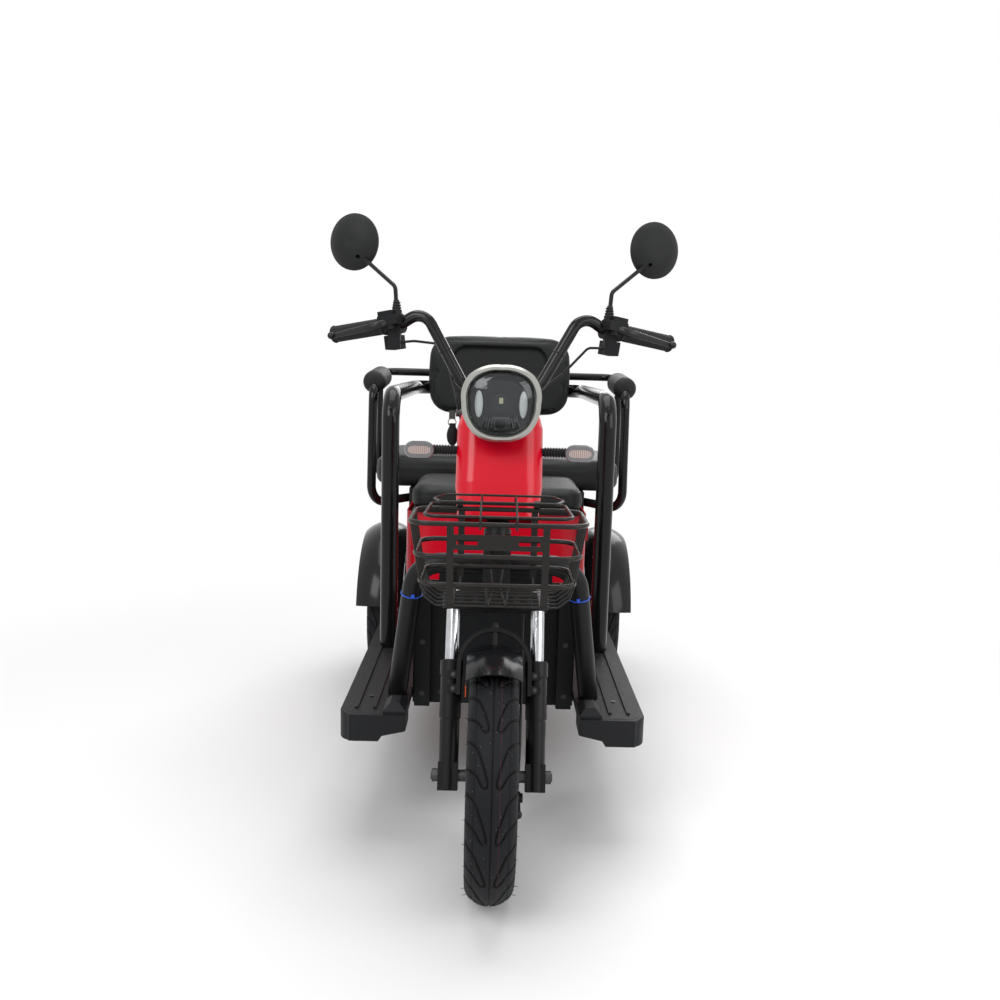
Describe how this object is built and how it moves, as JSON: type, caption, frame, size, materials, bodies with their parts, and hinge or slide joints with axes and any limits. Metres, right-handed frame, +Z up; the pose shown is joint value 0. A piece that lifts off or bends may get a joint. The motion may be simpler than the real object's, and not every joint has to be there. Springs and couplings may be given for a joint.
{
  "type": "electric tricycle",
  "caption": "Small passenger electric tricycle: steered front fork with wire basket, driver's seat over a box, rear bench with guard rails, driven rear axle",
  "frame": {"origin": "on the floor at the middle of the outline", "axes": "+X to the right as the front is looked at, +Y towards the rear, +Z up"},
  "size_m": [0.729, 1.55, 1.181],
  "materials": {
    "black_tube": "satin",
    "gloss_black": "gloss",
    "dark_plastic": "matte",
    "board_plastic": "matte",
    "pad_black": "matte",
    "red_paint": "gloss",
    "battery_case": "matte",
    "black_panel": "satin",
    "vinyl": "satin",
    "guard_black": "gloss",
    "black_steel": "satin",
    "lamp_red": "gloss",
    "chrome": "polished",
    "fork_black": "satin",
    "zinc": "satin",
    "silver": "matte",
    "lamp_grey": "satin",
    "lens_clear": "gloss",
    "signal_clear": "gloss",
    "grip_rubber": "matte",
    "lever_black": "satin",
    "mirror_black": "matte",
    "mirror_glass": "polished",
    "basket_black": "satin",
    "cable_black": "matte",
    "tyre": "matte",
    "rim_black": "satin"
  },
  "bodies": {
    "chassis": {"frame": "black_tube", "guard_rails": "gloss_black", "leg_shield": "dark_plastic", "footboard_left": "board_plastic", "footboard_right": "board_plastic", "arm_pads": "pad_black", "seat_box": "red_paint", "battery": "battery_case", "rear_box": "black_panel", "rear_bench": "vinyl", "backrest": "vinyl", "rear_mudguard_left": "guard_black", "rear_mudguard_right": "guard_black", "rear_axle": "black_steel", "rear_dampers": "black_steel", "tail_lamps": "lamp_red"},
    "steering": {"fork_crown": "black_steel", "stanchions": "chrome", "fork_lowers": "fork_black", "front_axle": "zinc", "fork_brace": "fork_black", "front_mudguard": "guard_black", "front_brake": "black_steel", "column_cover": "red_paint", "headlamp_bezel": "silver", "headlamp_bowl": "lamp_grey", "headlamp_lens": "lens_clear", "turn_signals": "dark_plastic", "signal_lenses": "signal_clear", "handlebar": "gloss_black", "grips": "grip_rubber", "switch_housings": "dark_plastic", "brake_levers": "lever_black", "mirror_stems": "black_steel", "mirror_heads": "mirror_black", "mirror_glass": "mirror_glass", "basket": "basket_black", "basket_bracket": "black_steel", "cables": "cable_black"},
    "lid": {"basket_lid": "basket_black"},
    "seat": {"driver_seat": "vinyl", "seat_base": "dark_plastic"},
    "front_wheel": {"front_tyre": "tyre", "front_rim": "rim_black"},
    "wheel_left": {"rear_tyre_left": "tyre", "rear_rim_left": "rim_black"},
    "wheel_right": {"rear_tyre_right": "tyre", "rear_rim_right": "rim_black"}
  },
  "joints": [
    {"name": "steering", "type": "hinge", "parent": "chassis", "child": "steering", "pos_m": [0, -0.40889, 0.54421], "axis": [0, 0.3584, 0.9336], "range_deg": [-35, 35]},
    {"name": "front_wheel_turn", "type": "hinge", "parent": "steering", "child": "front_wheel", "pos_m": [0, -0.572, 0.203], "axis": [1, 0, 0], "continuous": true},
    {"name": "wheel_left_turn", "type": "hinge", "parent": "chassis", "child": "wheel_left", "pos_m": [-0.3, 0.536, 0.203], "axis": [1, 0, 0], "continuous": true},
    {"name": "wheel_right_turn", "type": "hinge", "parent": "chassis", "child": "wheel_right", "pos_m": [0.3, 0.536, 0.203], "axis": [1, 0, 0], "continuous": true},
    {"name": "seat_lid", "type": "hinge", "parent": "chassis", "child": "seat", "pos_m": [0, 0.033, 0.5477], "axis": [1, 0, 0], "range_deg": [0, 75]},
    {"name": "basket_lid_hinge", "type": "hinge", "parent": "steering", "child": "lid", "pos_m": [0, -0.512, 0.66196], "axis": [-1, 0, 0], "range_deg": [0, 95]}
  ]
}
